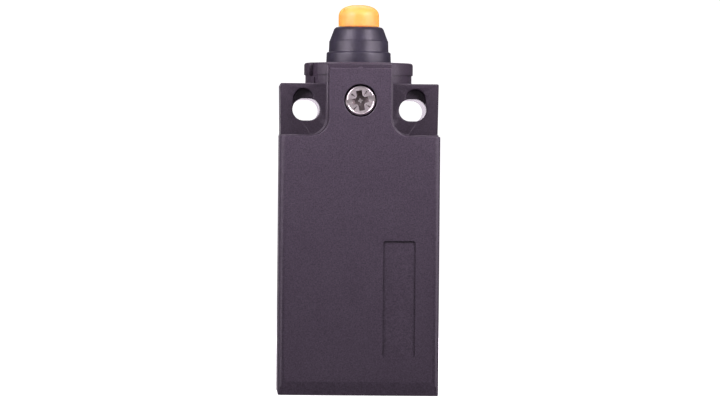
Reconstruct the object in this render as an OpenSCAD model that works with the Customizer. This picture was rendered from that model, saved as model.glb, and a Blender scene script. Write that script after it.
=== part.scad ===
// Plunger limit switch of the narrow plastic class with mounting holes 20 to 22 mm apart.
// X runs across the switch, Z runs up along the plunger, and the mounting face is the plane y = 0.
// Depths are measured forward from the mounting face, so a depth d lies at y = -d.
// Z = 0 is the line through the two mounting slots.

/* [Housing] */
// Width of the front cover, the widest piece
body_w = 31; // [30.6:0.1:38]
// Height from the bottom face to the top of the mounting ears
body_h = 60.5; // [60.5:0.5:75]
// Depth from the mounting face to the front of the cover
body_d = 33.5; // [33:0.5:40]
// Depth of the rear housing, where the cover meets it
split_d = 26; // [26:0.5:28]
// Depth of the mounting ears
ear_d = 25; // [24:0.5:25.5]
// How far the ears stand above the mounting hole line
ear_top = 5.1; // [4.5:0.1:6]
// How much the ears narrow on each side towards the shoulders
ear_draft = 0.15; // [0:0.05:0.3]
// How far the cover stands out past the rear housing on each side
cover_overhang = 0.1; // [0.05:0.05:0.4]
// Thickness of the rear housing's side walls
side_wall = 2.4; // [2.2:0.1:2.8]
// Thickness of the rear housing's back wall
back_wall = 2.5; // [2:0.1:3]
// Thickness of the floor that holds the cable entry thread
floor_h = 8; // [7:0.5:8.5]

/* [Mounting slots] */
// Distance between the centres of the two slots
slot_pitch = 20.7; // [20.5:0.1:22]
// Length of each slot along X
slot_len = 5.3; // [5:0.1:6]
// Width of each slot, for an M4 screw
slot_w = 4.3; // [4.2:0.1:4.8]
// Distance between the two upright relief pockets in front of the slots
relief_pitch = 21.7; // [21:0.1:22.5]
// Width of the relief pockets
relief_w = 3.9; // [3.7:0.1:4.6]
// Height of a relief pocket's top above the slot line
relief_top = 4.05; // [3.5:0.05:4.2]
// Depth of the relief pockets behind the ear's front face
relief_depth = 1.5; // [1:0.5:8]

/* [Front cover] */
// Width of the tongue that reaches up over the head
tongue_w = 12; // [11:0.5:13]
// Height of the tongue's top above the slot line
tongue_top = 7.9; // [6.5:0.1:8.5]
// Height of the cover's shoulders, below the slot line
shoulder_z = -5.2; // [-5.6:0.1:-4.8]
// Radius between the tongue and the shoulders
shoulder_r = 3.5; // [2:0.5:4]
// Width of the housing's rim that shows beside the cover's tongue and shoulders
rim_w = 0.35; // [0.2:0.05:0.5]
// Thickness of the cover's front wall
cover_wall = 2.2; // [1.8:0.1:3]
// Rounding of the cover's upright front edges
cover_edge_r = 1.2; // [0.6:0.1:2]
// Height of the slanted band along the cover's lower edge
bevel_h = 2.6; // [1:0.2:4]
// How far that band slants back
bevel_d = 0.45; // [0.2:0.05:1]
// Width of the sunk marking field
field_w = 6.3; // [4:0.1:7]
// Height of the sunk marking field
field_h = 22.6; // [10:0.2:30]
// Depth of the sunk marking field
field_depth = 0.3; // [0.1:0.05:0.5]

/* [Cover screw] */
// Height of the screw above the slot line
screw_z = 1.65; // [0.5:0.05:2.5]
// Radius of the screw's head
screw_head_r = 2.9; // [2.4:0.1:3.1]
// Radius of the screw's shank
screw_r = 1.75; // [1.5:0.05:1.9]
// Height of the screw's head
screw_head_h = 2.65; // [2.2:0.05:3]

/* [Plunger and head] */
// Depth of the plunger's axis
axis_d = 15; // [14.5:0.25:15]
// Travel of the plunger
travel = 6; // [5:0.25:6]
// Height of the plunger's tip above the slot line
tip_z = 20.7; // [20:0.1:22]
// Radius of the plunger's cap
cap_r = 4; // [3.6:0.05:4.1]
// Height of the cap's dome
dome_h = 2.45; // [2:0.05:3.5]
// Radius of the plunger's stem
stem_r = 3; // [2.4:0.1:3.1]
// Radius of the round collar on top of the housing
collar_r = 10.65; // [10:0.05:10.8]
// Height of the collar's top above the slot line
collar_top = 9.25; // [9:0.05:10]

/* [Plunger boot] */
// Height of the boot's top above the collar
boot_h = 7.05; // [6.5:0.05:7.5]
// Radius of the flange that lies on the collar
boot_flange_r = 6.35; // [6.2:0.05:7]
// Height of that flange
boot_flange_h = 2.15; // [1.8:0.05:2.5]
// Radius of the straight sleeve above the flange
boot_sleeve_r = 5.86; // [5.7:0.02:6]
// Width of the boot's lip round the plunger
boot_lip_w = 0.85; // [0.7:0.05:1]
// Thickness of the boot's wall
boot_wall = 0.6; // [0.5:0.05:0.8]

/* [Cable entry] */
// Radius of the cable entry, an M20 thread drawn at its major diameter
entry_r = 10; // [8:0.1:10.2]
// Depth of the cable entry's axis
entry_d = 14; // [13.5:0.25:14]

/* [Contacts] */
// Free gap of the normally open contact
contact_gap = 3; // [2.5:0.1:3]
// Length of the moving bridges
bridge_len = 17.6; // [17:0.1:17.6]
// Width of the moving bridges
bridge_w = 3.6; // [3:0.1:3.8]
// Thickness of the moving bridges
bridge_t = 0.8; // [0.5:0.1:1]
// Radius of the contact tips
tip_r = 1.3; // [1:0.1:1.4]
// Height of the contact tips
tip_h = 0.5; // [0.3:0.05:0.6]
// Radius of the terminal screws' thread
terminal_screw_r = 1.5; // [1.25:0.05:1.6]

/* [Hidden] */
$fn = 64;

fit = 0.02;       // gap between pieces that sit still against each other
slide_gap = 0.05; // radial gap of a running fit
cut = 0.1;        // how far a cutter runs past the face that it opens

// Outlines of the housing and the cover
bottom_z = ear_top - body_h;
base_w = body_w - 2 * cover_overhang;
base_shoulder_z = shoulder_z + rim_w;
pad_w = tongue_w + 2 * rim_w;
pad_top = collar_top - 0.25;
cover_gap = 0.05;
cover_bottom_z = bottom_z + 0.15;

// Inside of the rear housing, with the rails that carry the contact block
cavity_w = base_w - 2 * side_wall;
cavity_floor_z = bottom_z + floor_h;
cavity_roof_z = base_shoulder_z - 3.75;
rail_h = 2.5;

// Sunk panel and ejector marks on the mounting face
panel_w = 19.2;
panel_depth = 0.6;
mark_r = 1.3;
mark_depth = 0.15;

// Seal between the housing and the cover, in a groove that is cut into both rims
seal_w = 1.2;
seal_inset = 0.6;
seal_corner_r = 1.8;
seal_base_depth = 1;
seal_cover_depth = 0.6;
seal_top_z = base_shoulder_z - 1.25;

// Ribs of the cover that stand on the housing's floor
locating_rib_x = 7.5;
locating_rib_w = 0.9;
locating_rib_h = 3;
locating_rib_reach = 1.6;

// Collar
lip_h = 2.4;
lip_z = collar_top - lip_h;
neck_r = collar_r - 0.25;
lip_edge_r = 0.5;
notch_angle = 58;
notch_w = 2.8;
notch_sink = 0.25;
notch_rib_w = 0.9;

// Boot and the groove of the plunger that its lip grips
boot_top_z = collar_top + boot_h;
boot_flange_top = collar_top + boot_flange_h;
boot_sleeve_top = boot_top_z - 2.75;
boot_top_r = cap_r + boot_lip_w;
boot_lip_h = 0.8;
boot_foot_r = boot_sleeve_r + 0.1;
boot_foot_w = 0.8;
boot_foot_z = collar_top - 1.55;
groove_r = cap_r - 0.6;

// Plunger: its cap comes down to just above the bush
cap_foot_z = boot_top_z - 1.9;
dome_power = 2.4;
dome = [for (a = [90:-6:0])
    [cap_r * pow(cos(a), 2 / dome_power), tip_z - dome_h + dome_h * pow(sin(a), 2 / dome_power)]];

// Bush that guides the stem. Its flange grips the boot's foot against the collar.
bush_r = stem_r + 1.2;
bush_flange_r = boot_foot_r - boot_foot_w - fit;
bush_foot_z = -3.4;
bush_top_z = cap_foot_z - travel - 0.1;

// Cover screw, the insert that it turns in, and the washer that keeps it in the cover
screw_head_d = body_d - 0.2;
screw_seat_d = screw_head_d - screw_head_h;
counterbore_r = screw_head_r + 0.25;
insert_d0 = axis_d + bush_r + 1;
insert_r = screw_r + 1.05;
retainer_d0 = split_d + 0.3;
retainer_t = 0.7;
retainer_r = screw_r + 1.25;

// Contact block
block_w = cavity_w - 0.4;
block_d0 = back_wall + rail_h;
block_d1 = 22;
block_top_z = cavity_roof_z - 0.6;
block_plate = 1.6;
carrier_w = 6;
carrier_gap = 0.15;
carrier_d0 = axis_d - 4;
carrier_d1 = axis_d + 4;
carrier_top_z = block_top_z - block_plate - slide_gap;
crossbar_h = 1.58;
closed_gap = 0.02;

// Heights of the two contact pairs, from the carrier's top down. Each bridge moves half as far as
// the carrier, so its window in the carrier is that much taller than the bridge and its spring.
bridge_travel = travel / 2;
nc_spring_len = 3;
no_spring_len = 2 + bridge_travel;
nc_shoulder_z = carrier_top_z - 3.12;
nc_bridge_z = nc_shoulder_z - bridge_travel - slide_gap;
nc_face_z = nc_bridge_z + tip_h + closed_gap;
nc_sill_z = nc_bridge_z - bridge_t - nc_spring_len;
no_roof_z = nc_sill_z - crossbar_h;
no_bridge_z = no_roof_z - no_spring_len;
no_sill_z = no_bridge_z - bridge_t - fit;
no_face_z = no_bridge_z - bridge_t - tip_h - contact_gap - closed_gap;
carrier_bottom_z = no_sill_z - crossbar_h - 0.2;
block_floor_z = carrier_bottom_z - travel - 5.2;
block_bottom_z = block_floor_z - block_plate;

// Springs
contact_spring_r = 1.5;
contact_wire = 0.4;
return_spring_r = 2.7;
return_wire = 0.6;

// Terminals
window_w = bridge_len + 0.6;
tip_x = bridge_len / 2 - tip_r - 0.3;
terminal_t = 1;
terminal_d0 = 19;
terminal_x0 = tip_x - tip_r - 0.2;
terminal_x1 = block_w / 2 - 0.4;
terminal_screw_x = 9.2;
terminal_head_r = terminal_screw_r + 1.1;
terminal_head_h = 1.6;
clamp_t = 0.88;
clamp_size = 5.6;
clamp_d0 = terminal_d0 + terminal_t + fit;
nc_plate_z0 = nc_face_z + tip_h;
nc_plate_z1 = nc_plate_z0 + 6.4;
no_plate_z1 = no_face_z - tip_h;
no_plate_z0 = no_plate_z1 - 7.8;
nc_screw_z = nc_plate_z0 + 3.7;
no_screw_z = no_plate_z1 - 5.1;

// Screws that hold the contact block on the rails
block_screw_r = 1;
block_screw_head_r = 1.7;
block_screw_x = window_w / 2 + 1.5;
block_screw_z = (nc_sill_z + no_roof_z) / 2 - 2.9;
block_screw_d0 = back_wall - 1.1;
block_screw_seat_d = 19.6;

// Plate over the moving contacts: a rib up the middle with two arms
plate_t = 1.2;
plate_rib_w = 9.6;
plate_arm_w = 2 * (block_screw_x - block_screw_head_r - 0.5);
plate_arm_z0 = no_face_z + 0.7;
plate_arm_z1 = nc_face_z - 0.7;
plate_top_z = block_top_z - 0.6;

// ---- helpers ----

// A flat outline in X and Z, made solid from depth d0 to depth d1.
module slab(d0, d1) translate([0, -d0, 0]) rotate([90, 0, 0]) linear_extrude(d1 - d0) children();

// A box given by its limits across, its depths and its heights.
module box(x0, x1, d0, d1, z0, z1) translate([x0, -d1, z0]) cube([x1 - x0, d1 - d0, z1 - z0]);

// A cylinder that runs forward, along the depth.
module peg(x, z, r, d0, d1) translate([x, -d0, z]) rotate([90, 0, 0]) cylinder(r = r, h = d1 - d0);

// A cylinder and a ring about the plunger's axis.
module rod(r, z0, z1) translate([0, -axis_d, z0]) cylinder(r = r, h = z1 - z0);
module ring(r0, r1, z0, z1) difference() {
    rod(r1, z0, z1);
    rod(r0, z0 - cut, z1 + cut);
}

module both_sides() for (side = [0, 1]) mirror([side, 0, 0]) children();

// A rectangle from its corners, with round corners.
module round_rect(x0, z0, x1, z1, r) {
    translate([x0 + r, z0]) square([x1 - x0 - 2 * r, z1 - z0]);
    translate([x0, z0 + r]) square([x1 - x0, z1 - z0 - 2 * r]);
    for (x = [x0 + r, x1 - r], z = [z0 + r, z1 - r]) translate([x, z]) circle(r);
}

// A slot with round ends that runs along X.
module slot(x, len, w) {
    translate([x - len / 2 + w / 2, -w / 2]) square([len - w, w]);
    for (end = [-1, 1]) translate([x + end * (len - w) / 2, 0]) circle(w / 2);
}

// The front outline of cover and housing: a rectangle with a tongue on top and round inner corners.
module tongue_outline(w, z0, z1, inner_w, top, r) {
    translate([-w / 2, z0]) square([w, z1 - z0]);
    translate([-inner_w / 2, z1 - cut]) square([inner_w, top - z1 + cut]);
    both_sides() translate([inner_w / 2, z1]) difference() {
        translate([-cut, -cut]) square([r + cut, r + cut]);
        translate([r, r]) circle(r);
    }
}

// The closed loop of the cover seal, narrowed by gap on each side.
module seal_loop(gap) {
    x = base_w / 2 - seal_inset - gap;
    z0 = bottom_z + seal_inset + gap;
    z1 = seal_top_z - gap;
    w = seal_w - 2 * gap;
    difference() {
        round_rect(-x, z0, x, z1, seal_corner_r);
        round_rect(-x + w, z0 + w, x - w, z1 - w, seal_corner_r - seal_w);
    }
}

// A coil spring that stands on z = 0, as a tube swept along a helix whose end turns lie flat.
function coil_height(t, turns, wire, len) =
    let (dead = 0.8, lift = len - 2 * dead * wire - wire)
    wire / 2 + wire * min(t, dead) + wire * max(0, t - (turns - dead))
    + lift * min(1, max(0, (t - dead) / (turns - 2 * dead)));

module coil_spring(r, wire, len, turns, steps = 16, sides = 8) {
    n = turns * steps;
    points = [for (i = [0:n], k = [0:sides - 1])
        let (a = 360 * i / steps, b = 360 * k / sides, q = r - wire / 2 + wire / 2 * cos(b))
        [q * cos(a), q * sin(a), coil_height(i / steps, turns, wire, len) + wire / 2 * sin(b)]];
    walls = [for (i = [0:n - 1], k = [0:sides - 1]) let (m = (k + 1) % sides)
        each [[i * sides + k, (i + 1) * sides + m, (i + 1) * sides + k],
              [i * sides + k, i * sides + m, (i + 1) * sides + m]]];
    ends = [[for (k = [0:sides - 1]) sides - 1 - k], [for (k = [0:sides - 1]) n * sides + k]];
    polyhedron(points, concat(walls, ends), convexity = 10);
}

// A spring about the plunger's axis that fills the heights from z0 to z1.
module spring_between(z0, z1, r, wire, turns) color([0.70, 0.71, 0.73])
    translate([0, -axis_d, z0 + fit]) coil_spring(r, wire, z1 - z0 - 2 * fit, turns);

// ---- rear housing ----

// The ears are one block whose upright sides lean in towards the shoulders.
module ear_outline() {
    foot_x = base_w / 2 - ear_draft;
    foot_z = base_shoulder_z - cut;
    polygon([[-base_w / 2, ear_top], [base_w / 2, ear_top], [foot_x, foot_z], [-foot_x, foot_z]]);
}

// Round collar with a rounded lip, two gaps in the lip and a small rib below each gap.
module head_collar() translate([0, -axis_d, 0]) {
    difference() {
        union() {
            translate([0, 0, ear_top - 1]) cylinder(r = neck_r, h = lip_z - ear_top + 1 + cut);
            rotate_extrude() {
                translate([0, lip_z]) square([collar_r, lip_h - lip_edge_r]);
                translate([0, lip_z]) square([collar_r - lip_edge_r, lip_h]);
                translate([collar_r - lip_edge_r, collar_top - lip_edge_r]) circle(lip_edge_r);
            }
        }
        for (turn = [0, 180]) rotate(-90 - notch_angle + turn)
            translate([collar_r - 1, -notch_w / 2, lip_z - notch_sink]) cube([2, notch_w, lip_h + 1]);
    }
    for (turn = [0, 180]) rotate(-90 - notch_angle + turn)
        translate([neck_r - 1, -notch_rib_w / 2, ear_top - 0.5])
            cube([1.2, notch_rib_w, lip_z - 2 * notch_sink - ear_top + 0.5]);
}

module mounting_slots() both_sides() {
    slab(-cut, ear_d + cut) slot(slot_pitch / 2, slot_len, slot_w);
    slab(ear_d - relief_depth, ear_d + cut) {
        translate([relief_pitch / 2 - relief_w / 2, 0]) square([relief_w, relief_top - relief_w / 2]);
        translate([relief_pitch / 2, relief_top - relief_w / 2]) circle(relief_w / 2);
    }
}

module plunger_passage() {
    rod(stem_r + 0.3, cavity_roof_z - cut, bush_foot_z + cut);
    rod(bush_r, bush_foot_z, boot_foot_z);
    rod(boot_foot_r + fit, boot_foot_z - fit, collar_top + cut);
}

module cable_entry() translate([0, -entry_d, bottom_z]) {
    chamfer = 0.7;
    translate([0, 0, -cut]) cylinder(r = entry_r, h = floor_h + 2 * cut);
    translate([0, 0, -fit]) cylinder(r1 = entry_r + chamfer, r2 = entry_r, h = chamfer);
}

module back_relief() {
    slab(-cut, panel_depth)
        round_rect(-panel_w / 2, cavity_floor_z + 3, panel_w / 2, cavity_roof_z - 2, 1.5);
    both_sides() for (z = [bottom_z + 6, cavity_floor_z + 9, cavity_roof_z - 6])
        peg(base_w / 2 - 2.6, z, mark_r, -cut, mark_depth);
}

module cavity() difference() {
    box(-cavity_w / 2, cavity_w / 2, back_wall, split_d + cut, cavity_floor_z, cavity_roof_z);
    both_sides() box(window_w / 2 + 0.3, cavity_w / 2 + cut, back_wall - cut, back_wall + rail_h,
                     cavity_floor_z - cut, cavity_roof_z + cut);
}

module base_housing() color([0.24, 0.21, 0.26]) difference() {
    union() {
        slab(0, split_d) translate([-base_w / 2, bottom_z]) square([base_w, base_shoulder_z - bottom_z]);
        slab(axis_d, split_d)
            tongue_outline(base_w, bottom_z, base_shoulder_z, pad_w, pad_top, shoulder_r - rim_w);
        slab(0, ear_d) ear_outline();
        head_collar();
    }
    cavity();
    mounting_slots();
    plunger_passage();
    cable_entry();
    back_relief();
    peg(0, screw_z, insert_r, insert_d0, split_d + cut);
    slab(split_d - seal_base_depth, split_d + cut) seal_loop(0);
    both_sides() peg(block_screw_x, block_screw_z, block_screw_r + slide_gap, block_screw_d0, block_d0 + cut);
}

// ---- pieces round the plunger ----

module guide_bush() color([0.86, 0.84, 0.78]) {
    ring(stem_r + slide_gap, bush_r - fit, bush_foot_z + fit, bush_top_z);
    ring(stem_r + slide_gap, bush_flange_r, boot_foot_z, bush_top_z);
}

// Rubber boot: foot in the collar, flange, straight sleeve, cone, and a lip that grips the plunger.
// The cone rolls inwards as the plunger goes down.
module plunger_boot() color([0.16, 0.15, 0.18]) translate([0, -axis_d, 0]) rotate_extrude() polygon([
    [boot_foot_r - boot_foot_w, boot_foot_z], [boot_foot_r, boot_foot_z],
    [boot_foot_r, collar_top + fit], [boot_flange_r, collar_top + fit],
    [boot_flange_r - 0.07, boot_flange_top - 0.25], [boot_flange_r - 0.3, boot_flange_top],
    [boot_sleeve_r, boot_flange_top + 0.05], [boot_sleeve_r - 0.08, boot_sleeve_top],
    [boot_sleeve_r - 0.18, boot_sleeve_top + 0.12],
    [boot_top_r, boot_top_z - 0.4], [boot_top_r - 0.14, boot_top_z - 0.1], [boot_top_r - 0.35, boot_top_z],
    [groove_r + slide_gap, boot_top_z], [groove_r + slide_gap, boot_top_z - boot_lip_h],
    [boot_top_r - boot_wall, boot_top_z - boot_lip_h],
    [boot_sleeve_r - 0.2 - boot_wall, boot_sleeve_top],
    [boot_sleeve_r - boot_wall, boot_flange_top - 0.1],
    [boot_foot_r - boot_foot_w, boot_flange_top - 0.6]]);

// Cap and stem in one moulding.
module plunger() color([0.98, 0.66, 0.14]) translate([0, -axis_d, 0]) rotate_extrude() polygon(concat(
    dome,
    [[cap_r, boot_top_z + fit], [groove_r, boot_top_z + fit], [groove_r, boot_top_z - boot_lip_h - fit],
     [cap_r - 0.1, boot_top_z - boot_lip_h - fit], [cap_r - 0.1, cap_foot_z + 0.3],
     [stem_r, cap_foot_z], [stem_r, carrier_top_z + 0.4], [stem_r - 0.4, carrier_top_z],
     [0, carrier_top_z]]));

// ---- contact block ----

module terminal_pocket(z0, z1)
    box(terminal_x0 - 0.2, terminal_x1 + 0.1, terminal_d0, block_d1 + cut, z0 - 0.1, z1 + 0.1);

module plate_outline(gap) {
    translate([-plate_rib_w / 2 - gap, block_floor_z - gap])
        square([plate_rib_w + 2 * gap, plate_top_z - block_floor_z + 2 * gap]);
    translate([-plate_arm_w / 2 - gap, plate_arm_z0 - gap])
        square([plate_arm_w + 2 * gap, plate_arm_z1 - plate_arm_z0 + 2 * gap]);
}

module contact_block() color([0.88, 0.86, 0.80]) difference() {
    channel_x = carrier_w / 2 + carrier_gap;
    box(-block_w / 2, block_w / 2, block_d0, block_d1, block_bottom_z, block_top_z);
    // channel of the carrier, with a roof and a floor
    box(-channel_x, channel_x, carrier_d0 - 0.2, block_d1 + cut, block_floor_z, block_top_z - block_plate);
    // room for both bridges and the inner ends of the terminals
    box(-window_w / 2, window_w / 2, axis_d - 3, block_d1 + cut,
        no_plate_z1 - terminal_t - 0.1, nc_plate_z0 + terminal_t + 0.1);
    slab(block_d1 - plate_t - fit, block_d1 + cut) plate_outline(fit);
    both_sides() {
        terminal_pocket(nc_plate_z0, nc_plate_z1);
        terminal_pocket(no_plate_z0, no_plate_z1);
        for (z = [nc_screw_z, no_screw_z])
            peg(terminal_screw_x, z, terminal_screw_r + 0.3, axis_d - 1.6, block_d1);
        peg(block_screw_x, block_screw_z, block_screw_r + 0.15, block_d0 - cut, block_d1 + cut);
        peg(block_screw_x, block_screw_z, block_screw_head_r + 0.1, block_screw_seat_d, block_d1 + cut);
    }
    rod(stem_r + 0.35, block_top_z - block_plate - cut, block_top_z + cut);
}

module block_window() color([0.80, 0.82, 0.84, 0.5]) slab(block_d1 - plate_t, block_d1) plate_outline(0);

module block_screws() color([0.75, 0.75, 0.76]) both_sides() difference() {
    head_d1 = block_screw_seat_d + 1.7;
    union() {
        peg(block_screw_x, block_screw_z, block_screw_r, block_screw_d0 + 0.2, block_screw_seat_d + 0.2);
        peg(block_screw_x, block_screw_z, block_screw_head_r, block_screw_seat_d + fit, head_d1);
    }
    for (turn = [0, 90]) translate([block_screw_x, -head_d1, block_screw_z]) rotate([0, turn, 0])
        cube([2, 1.4, 0.45], center = true);
}

// ---- terminals ----

// Bent strip on the right side: an upright plate for the screw, and a tab that runs back to the tip.
module terminal(plate_z0, plate_z1, tab_z0, screw_height) color([0.78, 0.62, 0.30]) difference() {
    union() {
        box(terminal_x0, terminal_x1, terminal_d0, terminal_d0 + terminal_t, plate_z0, plate_z1);
        box(terminal_x0, window_w / 2 - 0.2, axis_d - 2.4, terminal_d0 + cut, tab_z0, tab_z0 + terminal_t);
    }
    peg(terminal_screw_x, screw_height, terminal_screw_r + slide_gap, terminal_d0 - cut, terminal_d0 + 2);
}

module terminal_nc() terminal(nc_plate_z0, nc_plate_z1, nc_plate_z0, nc_screw_z);
module terminal_no() terminal(no_plate_z0, no_plate_z1, no_plate_z1 - terminal_t, no_screw_z);

// A contact tip: a short disc with a shallow crown, facing up or down.
module tip(x, z, up) translate([x, -axis_d, z]) mirror([0, 0, up ? 0 : 1]) {
    crown_h = 0.15;
    cylinder(r = tip_r, h = tip_h - crown_h);
    translate([0, 0, tip_h - crown_h]) cylinder(r1 = tip_r, r2 = tip_r - 0.5, h = crown_h);
}

module fixed_contact_tips() color([0.86, 0.86, 0.85]) both_sides() {
    tip(tip_x, nc_plate_z0, false);
    tip(tip_x, no_plate_z1, true);
}

module wire_clamps() color([0.80, 0.80, 0.78]) both_sides() for (z = [nc_screw_z, no_screw_z])
    difference() {
        box(terminal_screw_x - clamp_size / 2, terminal_screw_x + clamp_size / 2,
            clamp_d0, clamp_d0 + clamp_t, z - clamp_size / 2, z + clamp_size / 2);
        peg(terminal_screw_x, z, terminal_screw_r + 0.1, clamp_d0 - cut, clamp_d0 + clamp_t + cut);
    }

module terminal_screws() color([0.78, 0.78, 0.80]) both_sides() for (z = [nc_screw_z, no_screw_z])
    difference() {
        head_d0 = clamp_d0 + clamp_t + fit;
        head_d1 = head_d0 + terminal_head_h;
        union() {
            peg(terminal_screw_x, z, terminal_screw_r, axis_d - 1, head_d0 + cut);
            peg(terminal_screw_x, z, terminal_head_r, head_d0, head_d1);
        }
        translate([terminal_screw_x, -head_d1, z]) cube([6, 1.4, 0.8], center = true);
        translate([terminal_screw_x, -head_d1, z]) cube([0.8, 2, 3], center = true);
    }

// ---- moving contacts ----

module carrier_window(z0, z1) box(-carrier_w / 2 - cut, carrier_w / 2 + cut,
    axis_d - bridge_w / 2 - 0.3, axis_d + bridge_w / 2 + 0.3, z0, z1);

module contact_carrier() color([0.72, 0.16, 0.12]) difference() {
    box(-carrier_w / 2, carrier_w / 2, carrier_d0, carrier_d1, carrier_bottom_z, carrier_top_z);
    carrier_window(nc_sill_z, nc_shoulder_z);
    carrier_window(no_sill_z, no_roof_z);
}

module bridge(top_z) color([0.80, 0.52, 0.30]) box(-bridge_len / 2, bridge_len / 2,
    axis_d - bridge_w / 2, axis_d + bridge_w / 2, top_z - bridge_t, top_z);

module nc_bridge() bridge(nc_bridge_z);
module no_bridge() bridge(no_bridge_z);
module nc_bridge_tips() color([0.86, 0.86, 0.85]) both_sides() tip(tip_x, nc_bridge_z, true);
module no_bridge_tips() color([0.86, 0.86, 0.85]) both_sides() tip(tip_x, no_bridge_z - bridge_t, false);

module nc_contact_spring() spring_between(nc_sill_z, nc_bridge_z - bridge_t, contact_spring_r, contact_wire, 4);
module no_contact_spring() spring_between(no_bridge_z, no_roof_z, contact_spring_r, contact_wire, 4);
module return_spring() spring_between(block_floor_z, carrier_bottom_z, return_spring_r, return_wire, 7);

// ---- cover ----

// What the cover's round upright edges and its slanted lower band leave of a block.
module cover_envelope() intersection() {
    r = cover_edge_r;
    front_y = r - body_d;
    translate([0, 0, cover_bottom_z - 1]) linear_extrude(tip_z - cover_bottom_z) {
        translate([-body_w / 2 + r, -body_d]) square([body_w - 2 * r, body_d]);
        translate([-body_w / 2, front_y]) square([body_w, -front_y]);
        for (side = [-1, 1]) translate([side * (body_w / 2 - r), front_y]) circle(r);
    }
    rotate([90, 0, 90]) translate([0, 0, -body_w]) linear_extrude(2 * body_w) polygon([
        [0, cover_bottom_z], [-body_d + bevel_d, cover_bottom_z], [-body_d, cover_bottom_z + bevel_h],
        [-body_d, tip_z], [0, tip_z]]);
}

module marking_field() {
    x = body_w / 2 - 4.6 - field_w;
    z = cover_bottom_z + 7.3;
    slab(body_d - field_depth, body_d + cut) round_rect(x, z, x + field_w, z + field_h, 0.5);
}

module front_cover() color([0.26, 0.23, 0.28]) difference() {
    rib_w = 0.8;
    rib_h = 1.2;
    union() {
        difference() {
            intersection() {
                slab(split_d + cover_gap, body_d)
                    tongue_outline(body_w, cover_bottom_z, shoulder_z, tongue_w, tongue_top, shoulder_r);
                cover_envelope();
            }
            slab(split_d, body_d - cover_wall) round_rect(-cavity_w / 2, cover_bottom_z + 2.4,
                cavity_w / 2, seal_top_z - seal_w - 0.6, 1);
        }
        // stiffening ribs inside the front wall
        both_sides() box(cavity_w / 6 - rib_w / 2, cavity_w / 6 + rib_w / 2,
            body_d - cover_wall - rib_h, body_d - cover_wall + cut, cover_bottom_z + 2, seal_top_z - seal_w);
        both_sides() box(locating_rib_x - locating_rib_w / 2, locating_rib_x + locating_rib_w / 2,
            split_d - locating_rib_reach, body_d - cover_wall + cut,
            cavity_floor_z + slide_gap, cavity_floor_z + locating_rib_h);
        // moulding stub at the top of the tongue
        peg(0, tongue_top - 0.2, 0.5, body_d - 1, body_d - 0.1);
    }
    slab(split_d, split_d + cover_gap + seal_cover_depth) seal_loop(0);
    peg(0, screw_z, counterbore_r, screw_seat_d - fit, body_d + cut);
    peg(0, screw_z, screw_r + 0.15, split_d, screw_seat_d);
    peg(0, screw_z, retainer_r + 0.2, split_d, retainer_d0 + retainer_t + 0.1);
    marking_field();
}

module cover_seal() color([0.10, 0.10, 0.11])
    slab(split_d - seal_base_depth + fit, split_d + cover_gap + seal_cover_depth - fit) seal_loop(fit);

module screw_retainer() color([0.75, 0.75, 0.76]) difference() {
    peg(0, screw_z, retainer_r, retainer_d0, retainer_d0 + retainer_t);
    peg(0, screw_z, screw_r + slide_gap, retainer_d0 - cut, retainer_d0 + retainer_t + cut);
}

module screw_insert() color([0.80, 0.64, 0.30]) difference() {
    peg(0, screw_z, insert_r - fit, insert_d0 + fit, split_d - 0.1);
    peg(0, screw_z, screw_r + slide_gap, insert_d0 - cut, split_d + cut);
}

// Slot and cross in one recess, turned a little, as the screwdriver left it.
module screw_recess() rotate([0, -10, 0]) {
    cube([2 * screw_head_r + 1, 1.5, 1.15], center = true);
    for (turn = [0, 90]) rotate([0, turn, 0]) cube([4.1, 3.6, 1.15], center = true);
    rotate([0, 45, 0]) cube([1.75, 3.8, 1.75], center = true);
    for (turn = [45, 135]) rotate([0, turn, 0]) cube([4.3, 0.5, 0.3], center = true);
}

module cover_screw() color([0.74, 0.70, 0.71]) difference() {
    rim = 0.3;
    union() {
        peg(0, screw_z, screw_r, insert_d0 + 0.3, screw_seat_d + cut);
        peg(0, screw_z, screw_head_r, screw_seat_d, screw_head_d - rim);
        translate([0, -screw_head_d + rim, screw_z]) rotate([90, 0, 0])
            cylinder(r1 = screw_head_r, r2 = screw_head_r - rim, h = rim);
    }
    translate([0, -screw_head_d, screw_z]) screw_recess();
}

// ---- nodes ----

base_housing();
guide_bush();
plunger_boot();
screw_insert();
contact_block();
block_window();
block_screws();
mirror([1, 0, 0]) terminal_nc();  // terminal_nc_left
terminal_nc();  // terminal_nc_right
mirror([1, 0, 0]) terminal_no();  // terminal_no_left
terminal_no();  // terminal_no_right
fixed_contact_tips();
terminal_screws();
wire_clamps();
return_spring();
plunger();
contact_carrier();
nc_contact_spring();
no_contact_spring();
nc_bridge();
nc_bridge_tips();
no_bridge();
no_bridge_tips();
front_cover();
cover_seal();
screw_retainer();
cover_screw();
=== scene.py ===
import math

import bmesh
import bpy
from mathutils import Matrix, Vector


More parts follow.
